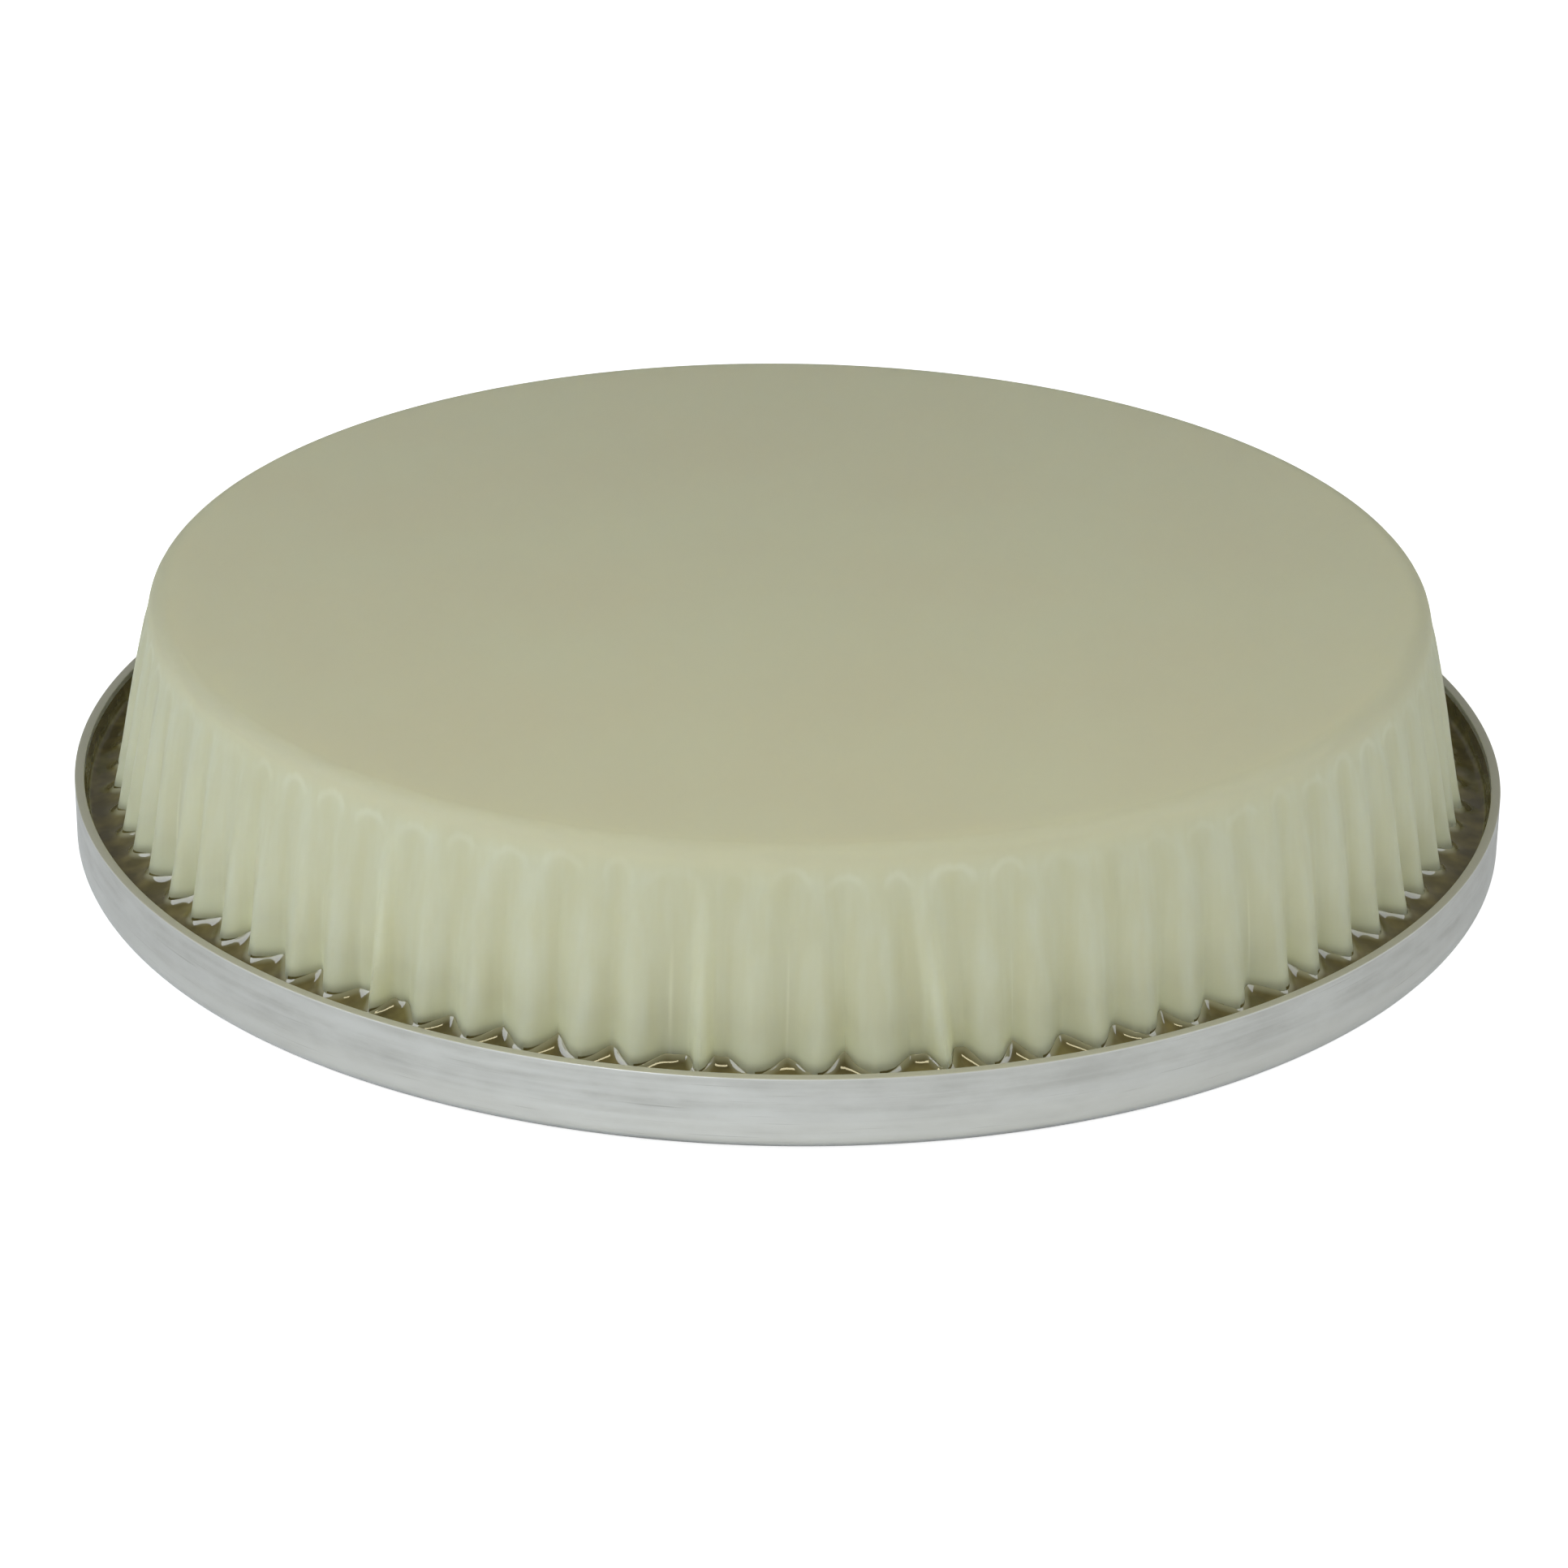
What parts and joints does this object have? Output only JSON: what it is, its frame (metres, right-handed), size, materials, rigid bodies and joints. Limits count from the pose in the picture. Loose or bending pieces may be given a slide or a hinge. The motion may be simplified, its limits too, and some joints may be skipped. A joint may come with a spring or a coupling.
{
  "type": "drum head",
  "caption": "Shallow cupped hand-drum head: a laminated film with a fluted collar, cast in resin into a rolled aluminium channel hoop.",
  "frame": {"origin": "on the drum's axis, on the plane that the hoop stands on", "axes": "+Z along the drum's axis, from the hoop towards the playing surface; -Y is the side that the picture shows"},
  "size_m": [0.243, 0.243, 0.044],
  "materials": {
    "hoop": "mill-finish rolled strip with faint drawn lines",
    "resin": "clear dark amber cast resin, glossy",
    "base_film": "translucent cream polyester film, smooth",
    "fibre_ply": "cream textured film, soft satin"
  },
  "bodies": {
    "root": {"hoop_channel": "hoop", "potting_resin": "resin", "base_film": "base_film", "fibre_ply": "fibre_ply"}
  },
  "joints": []
}
